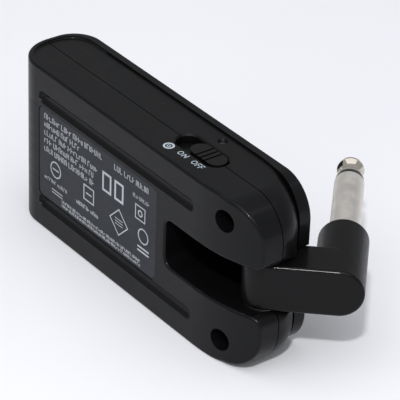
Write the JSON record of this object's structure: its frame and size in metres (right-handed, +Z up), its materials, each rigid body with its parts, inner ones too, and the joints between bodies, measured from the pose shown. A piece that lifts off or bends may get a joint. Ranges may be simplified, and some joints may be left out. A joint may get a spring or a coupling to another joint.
{
  "type": "plug-in guitar headphone transmitter unit",
  "caption": "Pocket plug-in unit for an electric guitar: flat black case with a forked end, folding swivel plug, power slider, push buttons, volume wheel, headphone and charging sockets.",
  "frame": {"origin": "on the flat of the front rim on the lower narrow side, where the unit stands, midway along the case", "axes": "+X from the rounded socket end to the forked plug end, +Y from the label side to the button side, +Z up across the width of the case"},
  "size_m": [0.0926, 0.0517, 0.0383],
  "materials": {
    "case_plastic": "fine satin near-black ABS",
    "arm_plastic": "satin black moulded plastic",
    "plate_plastic": "gloss black panel",
    "label_film": "matt dark grey label film with pale print",
    "screw_steel": "black-oxide steel screws",
    "plug_nickel": "satin nickel plate",
    "plug_insulator": "black insulating ring",
    "bush_plastic": "natural acetal",
    "washer_steel": "spring steel",
    "button_rubber": "matt dark grey keys",
    "knob_plastic": "satin black with cross ridges",
    "wheel_rubber": "toothed black rim",
    "window_plastic": "clear acrylic",
    "led_resin": "white LED package",
    "board_laminate": "green solder mask",
    "switch_body": "black moulded component bodies",
    "battery_wrap": "silver-blue pouch film",
    "pad_foam": "black foam tape",
    "socket_steel": "stamped steel shell",
    "jack_plastic": "black moulded jack body",
    "antenna_copper": "copper-plated chip"
  },
  "bodies": {
    "housing": {"back_shell": "case_plastic", "front_shell": "case_plastic", "front_plate": "plate_plastic", "rating_label": "label_film", "case_screws": "screw_steel", "pivot_bushes": "bush_plastic", "friction_washers": "washer_steel", "tact_switches": "switch_body", "indicator_windows": "window_plastic", "indicator_leds": "led_resin", "slide_switch": "switch_body", "light_pipe": "window_plastic", "status_led": "led_resin", "volume_pot": "switch_body", "main_board": "board_laminate", "board_screws": "screw_steel", "battery": "battery_wrap", "battery_pad": "pad_foam", "usb_c_socket": "socket_steel", "headphone_jack": "jack_plastic", "radio_module": "socket_steel", "processor_chip": "switch_body", "antenna": "antenna_copper"},
    "plug": {"swivel_arm": "arm_plastic", "plug_sleeve": "plug_nickel", "plug_insulator": "plug_insulator", "plug_tip": "plug_nickel"},
    "power_knob": {"power_slider": "knob_plastic"},
    "volume_dial": {"volume_wheel": "wheel_rubber"},
    "key_gain_minus": {"button_gain_minus": "button_rubber"},
    "key_gain_plus": {"button_gain_plus": "button_rubber"},
    "key_tone_minus": {"button_tone_minus": "button_rubber"},
    "key_tone_plus": {"button_tone_plus": "button_rubber"},
    "key_effect_minus": {"button_effect_minus": "button_rubber"},
    "key_effect_plus": {"button_effect_plus": "button_rubber"},
    "key_reverb_minus": {"button_reverb_minus": "button_rubber"},
    "key_reverb_plus": {"button_reverb_plus": "button_rubber"}
  },
  "joints": [
    {"name": "plug_swivel", "type": "hinge", "parent": "housing", "child": "plug", "pos_m": [0.0351, -0.0075, 0.01915], "axis": [0, 0, 1], "range_deg": [-227.5, 42.5]},
    {"name": "power_slide", "type": "slide", "parent": "housing", "child": "power_knob", "axis": [-1, 0, 0], "range_m": [0, 0.0044]},
    {"name": "volume_turn", "type": "hinge", "parent": "housing", "child": "volume_dial", "pos_m": [-0.012, -0.0085, 0.00625], "axis": [0, 1, 0], "range_deg": [-150, 150]},
    {"name": "press_gain_minus", "type": "slide", "parent": "housing", "child": "key_gain_minus", "axis": [0, -1, 0], "range_m": [0, 0.0004], "stiffness_N_per_m": 400},
    {"name": "press_gain_plus", "type": "slide", "parent": "housing", "child": "key_gain_plus", "axis": [0, -1, 0], "range_m": [0, 0.0004], "stiffness_N_per_m": 400},
    {"name": "press_tone_minus", "type": "slide", "parent": "housing", "child": "key_tone_minus", "axis": [0, -1, 0], "range_m": [0, 0.0004], "stiffness_N_per_m": 400},
    {"name": "press_tone_plus", "type": "slide", "parent": "housing", "child": "key_tone_plus", "axis": [0, -1, 0], "range_m": [0, 0.0004], "stiffness_N_per_m": 400},
    {"name": "press_effect_minus", "type": "slide", "parent": "housing", "child": "key_effect_minus", "axis": [0, -1, 0], "range_m": [0, 0.0004], "stiffness_N_per_m": 400},
    {"name": "press_effect_plus", "type": "slide", "parent": "housing", "child": "key_effect_plus", "axis": [0, -1, 0], "range_m": [0, 0.0004], "stiffness_N_per_m": 400},
    {"name": "press_reverb_minus", "type": "slide", "parent": "housing", "child": "key_reverb_minus", "axis": [0, -1, 0], "range_m": [0, 0.0004], "stiffness_N_per_m": 400},
    {"name": "press_reverb_plus", "type": "slide", "parent": "housing", "child": "key_reverb_plus", "axis": [0, -1, 0], "range_m": [0, 0.0004], "stiffness_N_per_m": 400}
  ]
}
